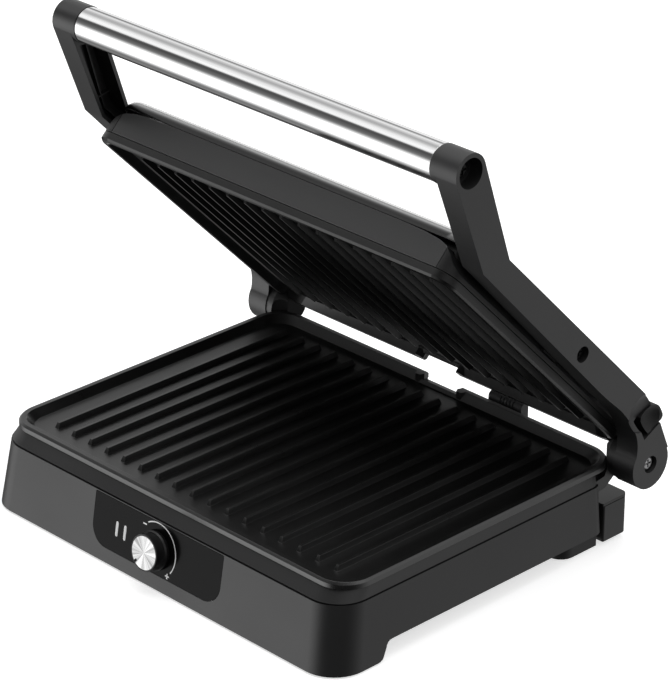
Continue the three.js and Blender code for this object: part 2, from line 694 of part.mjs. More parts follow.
// The knob's skirt is wider at the panel, with a recess in its face for the steel disc.
function makeKnob() {
  const profile = [
    [0, 0.5],
    [KNOB_RADIUS, 0.5],
    [KNOB_RADIUS, 2.4],
    [KNOB_CAP_RADIUS + 0.9, 3.4],
    [KNOB_CAP_RADIUS + 0.7, KNOB_LENGTH - 0.4],
    [KNOB_CAP_RADIUS + 0.3, KNOB_LENGTH],
    [0, KNOB_LENGTH],
  ].map(([radius, z]) => new THREE.Vector2(radius, z));
  const body = solid(new THREE.LatheGeometry(profile, 36).rotateX(Math.PI / 2));
  const seat = KNOB_LENGTH - KNOB_FACE_THICKNESS;
  const face = solid(prismZ(disc(0, 0, KNOB_CAP_RADIUS), seat, KNOB_LENGTH + 1, 18));
  const bore = solid(prismZ(disc(0, 0, SHAFT_RADIUS + FIT_GAP), -1, KNOB_LENGTH - 3, 10));
  return cut(body, face, bore);
}

const faceBottom = KNOB_LENGTH - KNOB_FACE_THICKNESS + FIT_GAP;
const knobFace = prismZ(disc(0, 0, KNOB_CAP_RADIUS - FIT_GAP), faceBottom, KNOB_LENGTH, 18);
const knobShaft = prismZ(disc(0, 0, SHAFT_RADIUS), -11, KNOB_LENGTH - 3.4, 10);
place(panelFrame, 'thermostat_knob', makeKnob(), glossBlack);
place(panelFrame, 'knob_face', solid(knobFace), brushedSteel);
place(panelFrame, 'knob_shaft', solid(knobShaft), zincSteel);

// ---- Rear of the base: shelf, drip tray, cord gland, lead boot and terminal block ----


function makeShelf() {
  const half = TRAY_HALF_WIDTH;
  const outline = roundedBox(-half, half, SHELL_REAR + FIT_GAP, TRAY_REAR, 0.8, TRAY_CORNER);
  const top = solid(prismZ(outline, SHELF_BOTTOM, SHELF_TOP));
  const lipRear = HINGE_Y + BOOT_HALF + 0.6;
  const lip = solid(boxAt(BOOT_X0 - 4, BOOT_X1 + 4, TRAY_REAR - 6, lipRear, SHELF_BOTTOM, SHELF_TOP));
  const mouth = solid(boxAt(-TRAY_MOUTH, BOOT_X0 - 8, TRAY_FRONT + TRAY_WALL, TRAY_REAR - 3, 0, 90));
  return cut(join(top, lip), mouth);
}

function makeTray() {
  const half = TRAY_HALF_WIDTH;
  const inner = half - TRAY_WALL;
  const [front, rear] = [TRAY_FRONT, TRAY_REAR];
  const outline = roundedBox(-half, half, front, rear, 1.2, TRAY_CORNER);
  const innerOutline = roundedBox(-inner, inner, front + TRAY_WALL, rear - TRAY_WALL, 2.4);
  const gripOutline = roundedBox(TRAY_GRIP[0], TRAY_GRIP[1], rear - 0.9, rear + 4, 0.4);
  return cut(
    solid(prismZ(outline, TRAY_BOTTOM, TRAY_TOP)),
    solid(prismZ(innerOutline, TRAY_BOTTOM + TRAY_WALL, TRAY_TOP + 1)),
    solid(prismZ(gripOutline, TRAY_TOP - 9, TRAY_TOP - 4, 2)),
  );
}

// A boot that carries the lid's leads up beside the hinge axis, with a ribbed middle.
function makeLeadBoot() {
  const outline = new THREE.Shape();
  const top = HINGE_Z;
  outline.moveTo(HINGE_Y - BOOT_HALF, SHELF_TOP + FIT_GAP);
  outline.lineTo(HINGE_Y + BOOT_HALF, SHELF_TOP + FIT_GAP);
  outline.lineTo(HINGE_Y + BOOT_HALF, top);
  outline.absarc(HINGE_Y, top, BOOT_HALF, 0, Math.PI, false);
  let boot = solid(prismX(outline, BOOT_X0, BOOT_X1, 4));
  for (let i = 0; i < BOOT_RIBS; i += 1) {
    const x = (BOOT_X0 + BOOT_X1) / 2 + 1 + (i - (BOOT_RIBS - 1) / 2) * BOOT_RIB_PITCH;
    const groove = cut(
      solid(boxAt(x, x + 1.1, HINGE_Y - 6, HINGE_Y + 6, SHELF_TOP + 6, HINGE_Z + 8)),
      solid(rodX(x - 1, x + 2, BOOT_HALF - 0.8, HINGE_Y, HINGE_Z, 12)),
      solid(boxAt(x - 1, x + 2, HINGE_Y - BOOT_HALF + 0.8, HINGE_Y + BOOT_HALF - 0.8, 0, HINGE_Z)),
    );
    boot = cut(boot, groove);
  }
  return boot;
}

function makeGland() {
  const profile = [
    [0, -8],
    [5.6, -8],
    [5.6, 0],
    [6.7, 0],
    [6.7, 2.6],
    [5.8, 4],
    [5, 12],
    [0, 12],
  ].map(([radius, y]) => new THREE.Vector2(radius, y));
  const body = new THREE.LatheGeometry(profile, 14).translate(GLAND_X, SHELL_REAR + FIT_GAP, GLAND_Z);
  const bore = new THREE.CylinderGeometry(3.3, 3.3, 40, 10).translate(GLAND_X, SHELL_REAR, GLAND_Z);
  return cut(solid(body), solid(bore));
}

place(base, 'rear_shelf', makeShelf(), charcoal);
place(base, 'drip_tray', makeTray(), charcoal);
place(base, 'lead_boot', makeLeadBoot(), rubber);
place(base, 'cord_gland', makeGland(), rubber);
const terminalBottom = COVER_BOTTOM + COVER_THICKNESS + FIT_GAP;
place(base, 'terminal_block', solid(boxAt(-70, -40, 176, 190, terminalBottom, 24)), phenolic);

// ---- Hinges ----


// A shouldered screw along X with a cross recess in its head, made for either side.
function shoulderScrew(side, tip, headStart, headEnd, radius, headRadius, y, z) {
  const shank = [[tip, radius], [headStart + 0.2, radius]];
  const head = [[headStart, headRadius], [headEnd - 0.8, headRadius], [headEnd, headRadius - 1.4]];
  const facing = (profile) => (side > 0 ? profile : profile.map(([x, r]) => [-x, r]).reverse());
  const screw = join(solid(turnedX(facing(shank), y, z, 12)), solid(turnedX(facing(head), y, z, 16)));
  const [x0, x1] = span(side, headEnd - 1.2, headEnd + 1);
  const arm = headRadius * 0.56;
  return cut(
    screw,
    solid(boxAt(x0, x1, y - arm, y + arm, z - 0.6, z + 0.6)),
    solid(boxAt(x0, x1, y - 0.6, y + 0.6, z - arm, z + arm)),
  );
}

for (const [name, side] of SIDES) {
  place(base, `hinge_screw_${name}`, shoulderScrew(side, 142.9, SCREW_HEAD_X, SCREW_TIP_X,
    SCREW_RADIUS, SCREW_HEAD_RADIUS, HINGE_Y, HINGE_Z), zincSteel);
}

// ---- Arms and handle ----


// The straight part of an arm that carries the handle, from its boss to the bend.
function upperArm(inset) {
  return polygon([
    [HANDLE_Y - 11.1 + inset, HANDLE_Z - 3.9 - inset * 0.3],
    [BEND_FRONT[0] + inset * 1.2, BEND_FRONT[1] - inset * 0.2],
    [BEND_REAR[0] - inset * 0.7, BEND_REAR[1] + inset * 0.6],
    [HANDLE_Y + 11.1 - inset, HANDLE_Z + 3.9 - inset * 0.3],
  ]);
}

// The long part of an arm, from the bend to the disc of the hinge, with a hollow neck in front.
function lowerArm() {
  const shape = new THREE.Shape();
  shape.moveTo(BEND_FRONT[0], BEND_FRONT[1]);
  shape.lineTo(92.7, 224.4);
  shape.lineTo(188.8, 122.6);
  shape.quadraticCurveTo(198, 113, 206, 106);
  shape.quadraticCurveTo(218, 95, 224.8, 80);
  shape.quadraticCurveTo(228.4, 70, 223.8, 58.5);
  shape.lineTo(239, HINGE_Z - 4);
  shape.lineTo(254.6, 62.6);
  shape.lineTo(246.8, 80.7);
  shape.lineTo(239.4, 96.2);
  shape.quadraticCurveTo(237, 101, 232.6, 105);
  shape.lineTo(225.7, 112.2);
  shape.lineTo(BEND_REAR[0], BEND_REAR[1]);
  return shape;
}

// The channels in an arm's inner face: a long one round the bend with low ribs left standing on its floor,
// and a short one below the solid stretch round the lid pivot.
function armChannels(side) {
  const [x0, x1] = span(side, ARM_INNER - 1, POCKET_DEPTH);
  const [r0, r1] = span(side, POCKET_DEPTH - CHANNEL_RIB_HEIGHT, POCKET_DEPTH + 1);
  const long = polygon([
    [71, 281.2],
    [76, 280.4],
    [81, 281],
    [86, 284],
    [88, 285.6],
    [106.4, 231.4],
    [163.4, 172.9],
    [150.6, 166.4],
    [94.2, 225.9],
    [89.5, 230.6],
  ]);
  const lower = polygon([
    [184, 132.2],
    [200, 116],
    [213, 122],
    [196.5, 139],
  ]);
  const ribs = [
    [[80.4, 290], [81.4, 290], [98.9, 230.6], [98, 230.2]],
    [[60, 268.4], [60, 269.3], [100, 282.5], [100, 281.6]],
    [[80, 235], [80, 236], [112, 242], [112, 241]],
    [[98, 230.2], [98.8, 230.8], [170, 157], [169.2, 156.4]],
  ];
  const hollow = solid(prismX(long, x0, x1));
  return [
    cut(hollow, ...ribs.map((points) => solid(prismX(polygon(points), r0, r1)))),
    solid(prismX(lower, x0, x1)),
  ];
}


// A point near the release button: a distance out of the arm's rear edge and a distance down along it.
function releasePoint(out, along) {
  return [
    RELEASE_Y + RELEASE_OUT[0] * out + RELEASE_ALONG[0] * along,
    RELEASE_Z + RELEASE_OUT[1] * out + RELEASE_ALONG[1] * along,
  ];
}

// The lever's outline in the arm's plane: a long round at its top corner and a tighter one below.
function releaseOutline(grow, inner, outer) {
  const half = RELEASE_HALF + grow;
  const at = releasePoint;
  const shape = new THREE.Shape();
  shape.moveTo(...at(inner, -half));
  shape.lineTo(...at(outer - 4.5, -half));
  shape.quadraticCurveTo(...at(outer, -half + 1), ...at(outer, -half + 8.5));
  shape.lineTo(...at(outer, half - 3.5));
  shape.quadraticCurveTo(...at(outer, half), ...at(outer - 3.5, half));
  shape.lineTo(...at(inner, half));
  return shape;
}

function makeArm(side) {
  const [x0, x1] = span(side, ARM_INNER, ARM_OUTER);
  const [b0, b1] = span(side, HANDLE_HALF_LENGTH + 0.4, ARM_OUTER);
  let arm = join(
    solid(prismX(upperArm(0), x0, x1)),
    solid(prismX(lowerArm(), x0, x1, 5)),
    solid(rodX(x0, x1, DISC_RADIUS, HINGE_Y, HINGE_Z, 36)),
    solid(rodX(b0, b1, HANDLE_BOSS_RADIUS, HANDLE_Y, HANDLE_Z)),
  );
  arm = cut(arm, ...armChannels(side));
  const through = span(side, 120, 200);
  const recess = span(side, SCREW_HEAD_X - FIT_GAP, 200);
  const pivotRecess = span(side, PIVOT_HEAD_X - FIT_GAP, 200);
  const handleRecess = span(side, HANDLE_RECESS_X, 200);
  const tubeSocket = span(side, 140, HANDLE_RECESS_X - 3);
  arm = cut(
    arm,
    solid(rodX(...through, SCREW_RADIUS + FIT_GAP, HINGE_Y, HINGE_Z, 20)),
    solid(rodX(...recess, RECESS_RADIUS, HINGE_Y, HINGE_Z, 20)),
    solid(rodX(...through, PIVOT_RADIUS + FIT_GAP, PIVOT_Y, PIVOT_Z, 20)),
    solid(rodX(...pivotRecess, PIVOT_HEAD_RADIUS + FIT_GAP, PIVOT_Y, PIVOT_Z, 20)),
    solid(rodX(...through, TIE_ROD_RADIUS + FIT_GAP, HANDLE_Y, HANDLE_Z, 14)),
    solid(rodX(...handleRecess, HANDLE_BORE_RADIUS, HANDLE_Y, HANDLE_Z, 24)),
    solid(rodX(...tubeSocket, HANDLE_SOCKET_RADIUS, HANDLE_Y, HANDLE_Z, 24)),
  );
  if (side > 0) {
    const pocket = prismX(releaseOutline(0.4, -13, 16), RELEASE_X0 - 0.4, ARM_OUTER + 1, 3);
    arm = cut(arm, solid(pocket), fingerScoop());
  }
  return arm;
}

// A shallow hollow in the right arm's outer face that leads a finger to the release lever.
function fingerScoop() {
  const ball = new THREE.SphereGeometry(SCOOP_RADIUS, 20, 14);
  ball.scale(SCOOP_DEPTH / SCOOP_RADIUS, 1, 1);
  return solid(ball.translate(ARM_OUTER, SCOOP_CENTRE[0], SCOOP_CENTRE[1]));
}

function makeReleaseButton() {
  const head = solid(prismX(releaseOutline(0, -8.6, RELEASE_REACH), RELEASE_X0, RELEASE_X1, 5));
  const thumb = new THREE.SphereGeometry(13, 20, 14);
  thumb.translate(RELEASE_X1 + 9.4, ...releasePoint(-3, -1));
  return cut(head, solid(thumb));
}

for (const [name, side] of SIDES) {
  place(base, `${name}_arm`, makeArm(side), charcoal);
  place(base, `pivot_pin_${name}`, shoulderScrew(side, PIVOT_TIP_X, PIVOT_HEAD_X, PIVOT_HEAD_X + 2.4,
    PIVOT_RADIUS, PIVOT_HEAD_RADIUS, PIVOT_Y, PIVOT_Z), zincSteel);
  place(base, `handle_screw_${name}`, shoulderScrew(side, HANDLE_RECESS_X - 8, HANDLE_RECESS_X + FIT_GAP,
    HANDLE_RECESS_X + 2.8, TIE_ROD_RADIUS - 0.2, 5, HANDLE_Y, HANDLE_Z), zincSteel);
}
place(base, 'handle_tube', tubeX(-HANDLE_HALF_LENGTH, HANDLE_HALF_LENGTH, HANDLE_TUBE_RADIUS,
  HANDLE_TUBE_RADIUS - HANDLE_TUBE_WALL, HANDLE_Y, HANDLE_Z, 28), brushedSteel);
const tieRod = rodX(-TIE_ROD_HALF_LENGTH, TIE_ROD_HALF_LENGTH, TIE_ROD_RADIUS, HANDLE_Y, HANDLE_Z, 12);
place(base, 'handle_tie_rod', solid(tieRod), zincSteel);
place(base, 'release_button', makeReleaseButton(), darkPlastic);

// ---- Lid, drawn closed with the hinge's axis as its origin ----

// The room that the knuckles and the lead boot need in anything that turns about the hinge's axis.
function hingeRoom() {
  const rooms = SIDES.map(([, side]) => {
    const [x0, x1] = span(side, KNUCKLE_END - 1, 160);
    return solid(rodX(x0, x1, KNUCKLE_CLEARANCE, 0, 0));
  });
  return [...rooms, solid(rodX(BOOT_X0 - 1, BOOT_X1 + 1, BOOT_HALF + 1.4, 0, 0, 16))];
}

function lidOutline(inset, corner = LID_CORNER) {
  const half = PLATE_WIDTH / 2 - inset;
  const round = (radius) => Math.max(radius - inset, 3);
  const [front, rear] = [LID_FRONT + inset, LID_REAR - inset];
  return roundedBox(-half, half, front, rear, round(corner), round(PLATE_CORNER));
}

// Everything under the lid's shoulders, drawn in by an inset.
function underShoulders(inset) {
  const right = SHOULDER.map(([x, z]) => [x - inset, z - inset * 0.6]);
  const left = right.map(([x, z]) => [-x, z]).reverse();
  const low = LID_RIM_BOTTOM - 5;
  const edge = right[right.length - 1][0];
  const outline = polygon([[-edge, low], [edge, low], ...right.reverse(), ...left.reverse()]);
  return solid(prismY(outline, LID_FRONT - 5, LID_REAR + 5));
}

// The space that each pivot boss takes, seen from the side as a block with a round top.
function pivotBosses(grow, inner, outer) {
  const radius = LID_BOSS_RADIUS + grow;
  const [front, rear] = [LID_PIVOT_Y - radius, LID_PIVOT_Y + radius];
  return SIDES.map(([, side]) => {
    const [x0, x1] = span(side, inner, outer);
    const foot = solid(boxAt(x0, x1, front, rear, PIVOT_BOSS_BOTTOM - grow, LID_PIVOT_Z));
    return join(foot, solid(rodX(x0, x1, radius, LID_PIVOT_Y, LID_PIVOT_Z)));
  });
}

function makeUpperPlate() {
  const plate = grillPlate(0, LID_REAR - LID_FRONT, LID_CORNER, -LID_RIM_HEIGHT, 0, false)
    .rotate([0, 180, 0])
    .translate([0, LID_FRONT, LID_RIM_BOTTOM]);
  return cut(plate, ...hingeRoom());
}

// The frame: a skin with falling shoulders, an inner wall that carries the cover, and two pivot bosses.
function makeLidFrame() {
  const bottom = LID_FRAME_BOTTOM;
  const top = LID_FRAME_TOP;
  const outer = solid(prismZ(lidOutline(0), bottom, top)).intersect(underShoulders(0));
  const lining = solid(prismZ(lidOutline(LID_WALL), bottom - 1, top + 1));
  const hollow = lining.intersect(underShoulders(LID_WALL));
  const opening = solid(prismZ(lidOutline(LID_INNER_WALL + 2), bottom, top + 1));
  const wall = cut(
    solid(prismZ(lidOutline(LID_INNER_WALL), bottom + 5, top)),
    solid(prismZ(lidOutline(LID_INNER_WALL + LID_WALL), bottom, top + 1)),
  );
  const fasciaRear = LID_FRONT + FASCIA_THICKNESS + FIT_GAP;
  const half = FASCIA_HALF_WIDTH;
  const recess = solid(boxAt(-half - FIT_GAP, half + FIT_GAP, LID_FRONT - 1, fasciaRear, 0, top + 1));
  const bridge = solid(boxAt(-half - 1, half + 1, fasciaRear, fasciaRear + LID_WALL, bottom, top));
  const shield = bridge.intersect(underShoulders(FIT_GAP));
  let frame = join(cut(outer, hollow, opening, recess), wall, shield, ...pivotBosses(0, 138.5, 149.5));
  for (const [, side] of SIDES) {
    const bore = span(side, 139.5, 170);
    frame = cut(frame, solid(rodX(...bore, PIVOT_RADIUS + FIT_GAP, LID_PIVOT_Y, LID_PIVOT_Z, 20)));
  }
  return cut(frame, ...hingeRoom());
}

function makeFascia() {
  const half = FASCIA_HALF_WIDTH;
  const [front, rear] = [LID_FRONT, LID_FRONT + FASCIA_THICKNESS];
  const blank = solid(boxAt(-half, half, front, rear, LID_FRAME_BOTTOM, LID_FRAME_TOP));
  return blank.intersect(underShoulders(0));
}

// The cover: a shallow steel pan with a rolled edge, hollow underneath.
function makeLidCover() {
  const top = LID_COVER_TOP;
  const bottom = LID_FRAME_TOP + FIT_GAP;
  const skin = lidOutline(0.2, LID_COVER_CORNER);
  const lining = lidOutline(0.2 + COVER_SHEET, LID_COVER_CORNER);
  const outer = solid(chamferedPrismZ(skin, bottom - 12, top, COVER_ROLL, 4));
  const inner = solid(chamferedPrismZ(lining, bottom - 14, top - COVER_SHEET, COVER_ROLL - COVER_SHEET, 3));
  const below = solid(boxAt(-200, 200, -260, 40, -40, bottom));
  return cut(outer, below, inner, ...pivotBosses(0.5, 138, 152), ...hingeRoom());
}

place(lid, 'upper_grill_plate', makeUpperPlate(), nonStick);
place(lid, 'lid_frame', makeLidFrame(), charcoal);
place(lid, 'lid_fascia', makeFascia(), charcoal);
place(lid, 'lid_cover', makeLidCover(), brushedSteel);
place(lid, 'upper_heating_rod', makeHeater(-191, -42, UPPER_HEATER_Z, 0.1), zincSteel);
place(lid, 'upper_reflector', makeReflector(-214, -26, 18, 2.4), brushedSteel);

export default group;
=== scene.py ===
"""Panini press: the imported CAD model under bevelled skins, with procedural materials and a pale studio.

Everything is in metres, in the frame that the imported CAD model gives.
"""

import json
import math

import bmesh
import bpy
from mathutils import Matrix, Vector


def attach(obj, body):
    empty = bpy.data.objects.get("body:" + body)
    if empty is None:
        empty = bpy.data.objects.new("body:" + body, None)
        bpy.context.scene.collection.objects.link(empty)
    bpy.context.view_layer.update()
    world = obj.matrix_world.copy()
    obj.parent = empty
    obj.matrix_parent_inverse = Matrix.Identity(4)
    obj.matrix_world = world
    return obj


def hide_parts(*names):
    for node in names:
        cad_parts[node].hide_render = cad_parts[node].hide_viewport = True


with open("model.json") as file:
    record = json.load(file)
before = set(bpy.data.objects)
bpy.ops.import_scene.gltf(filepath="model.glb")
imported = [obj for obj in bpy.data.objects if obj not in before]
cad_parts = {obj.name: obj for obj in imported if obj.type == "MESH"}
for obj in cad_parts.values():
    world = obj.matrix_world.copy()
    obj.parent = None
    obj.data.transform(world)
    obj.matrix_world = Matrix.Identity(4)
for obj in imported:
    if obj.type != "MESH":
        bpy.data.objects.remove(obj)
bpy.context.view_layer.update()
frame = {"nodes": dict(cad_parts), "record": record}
NODES = frame["nodes"]
BODY_OF = {n: b for b, members in frame["record"]["behaviour"]["bodies"].items() for n in members}
SLOT_OF = {s["node"]: s["material_slot"] for s in frame["record"]["subparts"]}

HINGE = Vector((0.0, 0.1212, 0.056))
LID_OPEN = math.radians(45.4)
LID_UP = Vector((0.0, math.sin(LID_OPEN), math.cos(LID_OPEN)))
# Height of the cover's lower edge above the hinge, square to the lid, and the stretch over which painted
# shade darkens it.
COVER_FOOT = 0.0248
COVER_PAINTED_SHADE_LOW = COVER_FOOT + 0.002
COVER_PAINTED_SHADE_HIGH = COVER_FOOT + 0.0069
COVER_PAINTED_SHADE_POWER = 2.2
KNOB_AXIS = Vector((0.0, -0.98585, 0.16760))
KNOB_UP = Vector((0.0, 0.16760, 0.98585))
KNOB_CENTRE = Vector((0.0, -0.12721, 0.0253))

# ---------------------------------------------------------------- camera

CAMERA_PLACE = Vector((1.3337, -1.2814, 1.0115))
CAMERA_AZIMUTH = math.radians(45.692)
CAMERA_ELEVATION = math.radians(25.71)
CAMERA_ROLL = math.radians(0.19)
SENSOR_HEIGHT_MM = 36.0
LENS_MM = 179.95
FAR_LIMIT = 50.0


def add_camera():
    """The photograph's view: its place, its angles and a long lens."""
    az, el, roll = CAMERA_AZIMUTH, CAMERA_ELEVATION, CAMERA_ROLL
    back = Vector((math.sin(az) * math.cos(el), -math.cos(az) * math.cos(el), math.sin(el)))
    right = Vector((math.cos(az), math.sin(az), 0.0))
    up = back.cross(right)
    x_axis = math.cos(roll) * right + math.sin(roll) * up
    y_axis = -math.sin(roll) * right + math.cos(roll) * up
    matrix = Matrix((x_axis, y_axis, back)).transposed().to_4x4()
    matrix.translation = CAMERA_PLACE
    data = bpy.data.cameras.new("camera")
    data.sensor_fit = "VERTICAL"
    data.sensor_height = SENSOR_HEIGHT_MM
    data.lens = LENS_MM
    data.clip_end = FAR_LIMIT
    camera = bpy.data.objects.new("camera", data)
    camera.matrix_world = matrix
    bpy.context.scene.collection.objects.link(camera)
    bpy.context.scene.camera = camera


add_camera()

# ---------------------------------------------------------------- node helpers


class Nodes:
    """A short way to add and link shader nodes in one tree."""

    def __init__(self, tree):
        self.tree = tree

    def add(self, kind, inputs=None, **settings):
        node = self.tree.nodes.new(kind)
        for key, value in settings.items():
            setattr(node, key, value)
        for key, value in (inputs or {}).items():
            socket = node.inputs[key]
            if isinstance(value, bpy.types.NodeSocket):
                self.tree.links.new(value, socket)
            else:
                socket.default_value = value
        return node

    def math(self, operation, a, b=0.0):
        return self.add("ShaderNodeMath", {0: a, 1: b}, operation=operation).outputs[0]

    def mean(self, a, share_a, b, share_b):
        """A weighted sum of two values."""
        return self.math("ADD", self.math("MULTIPLY", a, share_a), self.math("MULTIPLY", b, share_b))

    def vector(self, operation, a, b=(0.0, 0.0, 0.0)):
        node = self.add("ShaderNodeVectorMath", {0: a, 1: b}, operation=operation)
        return node.outputs["Value"] if operation in ("DOT_PRODUCT", "LENGTH") else node.outputs[0]

    def here(self):
        """The shaded point in the frame's metres, because every piece's object sits at the origin."""
        return self.add("ShaderNodeTexCoord").outputs["Object"]

    def place(self, scale=(1.0, 1.0, 1.0)):
        """The shaded point, stretched so that a pattern on it gets finer or coarser along each axis."""
        return self.add("ShaderNodeMapping", {"Vector": self.here(), "Scale": scale}).outputs[0]

    def noise(self, vector, scale, detail, rough=0.5):
        settings = {"Vector": vector, "Scale": scale, "Detail": detail, "Roughness": rough}
        return self.add("ShaderNodeTexNoise", settings).outputs[0]

    def remap(self, value, low, high, to_low, to_high):
        settings = {"Value": value, "From Min": low, "From Max": high, "To Min": to_low, "To Max": to_high}
        return self.add("ShaderNodeMapRange", settings).outputs[0]

    def mix(self, factor, a, b):
        node = self.add("ShaderNodeMix", data_type="RGBA")
        for index, value in ((0, factor), (6, a), (7, b)):
            if isinstance(value, bpy.types.NodeSocket):
                self.tree.links.new(value, node.inputs[index])
            else:
                node.inputs[index].default_value = value
        return node.outputs[2]

    def bump(self, height, strength, distance, normal=None):
        inputs = {"Height": height, "Strength": strength, "Distance": distance}
        if normal is not None:
            inputs["Normal"] = normal
        return self.add("ShaderNodeBump", inputs).outputs[0]


def rgba(value, tint=(1.0, 1.0, 1.0)):
    return (value * tint[0], value * tint[1], value * tint[2], 1.0)


def new_material(name):
    material = bpy.data.materials.new(name)
    material.use_nodes = True
    tree = material.node_tree
    shader = tree.nodes["Principled BSDF"]
    return material, Nodes(tree), shader


def link(nodes, output, shader, socket):
    nodes.tree.links.new(output, shader.inputs[socket])


def make_metal(shader, anisotropy):
    shader.inputs["Metallic"].default_value = 1.0
    shader.inputs["Anisotropic"].default_value = anisotropy


# ---------------------------------------------------------------- materials


COOL_TINT = (1, 1, 1.03)


def plastic(name, tone, roughness, specular, grain=2400.0, depth=0.00002, spread=0.05, tint=COOL_TINT):
    """Moulded plastic: slight tone drift, uneven gloss and a fine spark-eroded grain."""
    material, n, shader = new_material(name)
    at = n.place()
    drift = n.noise(at, 14.0, 3.0)
    speck = n.noise(at, grain * 0.4, 2.0)
    fine = n.noise(at, grain, 2.0, 0.6)
    tone_mix = n.mean(drift, 0.6, speck, 0.4)
    colour = n.mix(n.remap(tone_mix, 0.3, 0.7, 0.0, 1.0), rgba(tone * 0.82, tint), rgba(tone * 1.2, tint))
    link(n, colour, shader, "Base Color")
    gloss = n.mean(drift, 0.7, fine, 0.3)
    link(n, n.remap(gloss, 0.3, 0.7, roughness - spread, roughness + spread), shader, "Roughness")
    link(n, n.bump(fine, 0.35, depth), shader, "Normal")
    shader.inputs["Specular IOR Level"].default_value = specular
    return material


def nonstick(name, specular=0.78):
    """Cast aluminium under a black coating: orange peel, fine speckle and a cloudy gloss."""
    material, n, shader = new_material(name)
    at = n.place()
    peel = n.noise(at, 700.0, 2.0)
    speck = n.noise(at, 3200.0, 1.0)
    cloud = n.noise(at, 22.0, 4.0, 0.6)
    fleck = n.remap(speck, 0.62, 0.74, 0.0, 1.0)
    colour = n.mix(n.math("MULTIPLY", fleck, 0.35), rgba(0.0075), rgba(0.03))
    link(n, colour, shader, "Base Color")
    gloss = n.math("ADD", cloud, n.math("MULTIPLY", speck, 0.3))
    link(n, n.remap(gloss, 0.4, 0.9, 0.26, 0.38), shader, "Roughness")
    link(n, n.bump(speck, 0.12, 0.00002, n.bump(peel, 0.3, 0.00005)), shader, "Normal")
    shader.inputs["Specular IOR Level"].default_value = specular
    return material


def brushed(name, tone, roughness, stretch, anisotropy, depth=0.000008, spread=0.06):
    """Steel brushed along the axis whose stretch is small."""
    material, n, shader = new_material(name)
    at = n.place(stretch)
    lines = n.noise(at, 1.0, 3.0, 0.7)
    broad = n.noise(n.place(), 9.0, 3.0)
    colour = n.mix(n.remap(lines, 0.3, 0.7, 0.0, 1.0), rgba(tone * 0.93, (1, 1, 1.01)), rgba(tone * 1.04))
    link(n, colour, shader, "Base Color")
    mixed = n.mean(lines, 0.7, broad, 0.3)
    link(n, n.remap(mixed, 0.3, 0.7, roughness - spread, roughness + spread), shader, "Roughness")
    link(n, n.bump(lines, 0.5, depth), shader, "Normal")
    make_metal(shader, anisotropy)
    return material


def cover_steel(name):
    """Brushed steel whose rolled edge darkens towards the frame below it, partly from the studio's light and
    partly from painted shade: a near-black band in its colour that fades up into the steel.
    """
    material, n, shader = new_material(name)
    lines = n.noise(n.place((10.0, 1500.0, 1500.0)), 1.0, 3.0, 0.7)
    at = n.here()
    height = n.vector("DOT_PRODUCT", n.vector("SUBTRACT", at, tuple(HINGE)), tuple(LID_UP))
    painted_shade_ramp = n.remap(height, COVER_PAINTED_SHADE_LOW, COVER_PAINTED_SHADE_HIGH, 0.0, 1.0)
    fade = n.math("POWER", painted_shade_ramp, COVER_PAINTED_SHADE_POWER)
    streaks = n.noise(n.place((3.0, 320.0, 320.0)), 1.0, 3.0, 0.65)
    grain = n.mean(lines, 0.5, streaks, 0.5)
    steel = n.mix(n.remap(grain, 0.35, 0.65, 0.0, 1.0), rgba(0.64), rgba(0.73))
    # Painted shade: the colour is near black below the stretch and rises into the steel across it.
    link(n, n.mix(fade, rgba(0.045), steel), shader, "Base Color")
    link(n, n.remap(grain, 0.35, 0.65, 0.16, 0.25), shader, "Roughness")
    link(n, n.bump(lines, 0.4, 0.000003), shader, "Normal")
    make_metal(shader, 0.4)
    return material


TURNED_RINGS_PER_METRE = 9000.0


def spun(name):
    """Steel turned in fine circles about the dial's axis, with a brushed glint that follows them, and
    painted glints: lighter and darker wedges round the axis in its colour.
    """
    material, n, shader = new_material(name)
    at = n.here()
    offset = n.vector("SUBTRACT", at, tuple(KNOB_CENTRE))
    along = n.vector("DOT_PRODUCT", offset, tuple(KNOB_AXIS))
    axis_inputs = {0: tuple(KNOB_AXIS), "Scale": along}
    axis_part = n.add("ShaderNodeVectorMath", axis_inputs, operation="SCALE").outputs[0]
    flat = n.vector("SUBTRACT", offset, axis_part)
    radius = n.vector("LENGTH", flat)
    ring_count = n.math("MULTIPLY", radius, TURNED_RINGS_PER_METRE)
    ring_place = n.add("ShaderNodeCombineXYZ", {"X": ring_count}).outputs[0]
    rings = n.noise(ring_place, 1.0, 2.0, 0.7)
    tangent = n.vector("CROSS_PRODUCT", tuple(KNOB_AXIS), flat)
    # Painted glints: noise over the direction round the axis makes lighter and darker wedges in the colour;
    # the rings below are the turning marks.
    streaks = n.noise(n.vector("NORMALIZE", flat), 3.2, 1.0)
    bright = n.mean(rings, 0.25, streaks, 0.75)
    colour = n.mix(n.remap(bright, 0.38, 0.62, 0.0, 1.0), rgba(0.24), rgba(0.6))
    link(n, colour, shader, "Base Color")
    link(n, n.remap(rings, 0.3, 0.7, 0.22, 0.34), shader, "Roughness")
    link(n, n.bump(rings, 0.35, 0.00001), shader, "Normal")
    link(n, n.vector("NORMALIZE", tangent), shader, "Tangent")
    make_metal(shader, 0.85)
    return material


def zinc(name, tone):
    """Zinc plate, bright or blackened: mottled and softly rough."""
    material, n, shader = new_material(name)
    at = n.place()
    mottle = n.add("ShaderNodeTexVoronoi", {"Vector": at, "Scale": 900.0}).outputs["Distance"]
    cloud = n.noise(at, 300.0, 3.0)
    colour = n.mix(n.remap(mottle, 0.1, 0.8, 0.0, 1.0), rgba(tone, (1, 1, 1.02)), rgba(tone * 0.7))
    link(n, colour, shader, "Base Color")
    link(n, n.remap(cloud, 0.3, 0.7, 0.3, 0.45), shader, "Roughness")
    link(n, n.bump(cloud, 0.2, 0.00003), shader, "Normal")
    make_metal(shader, 0.0)
    return material


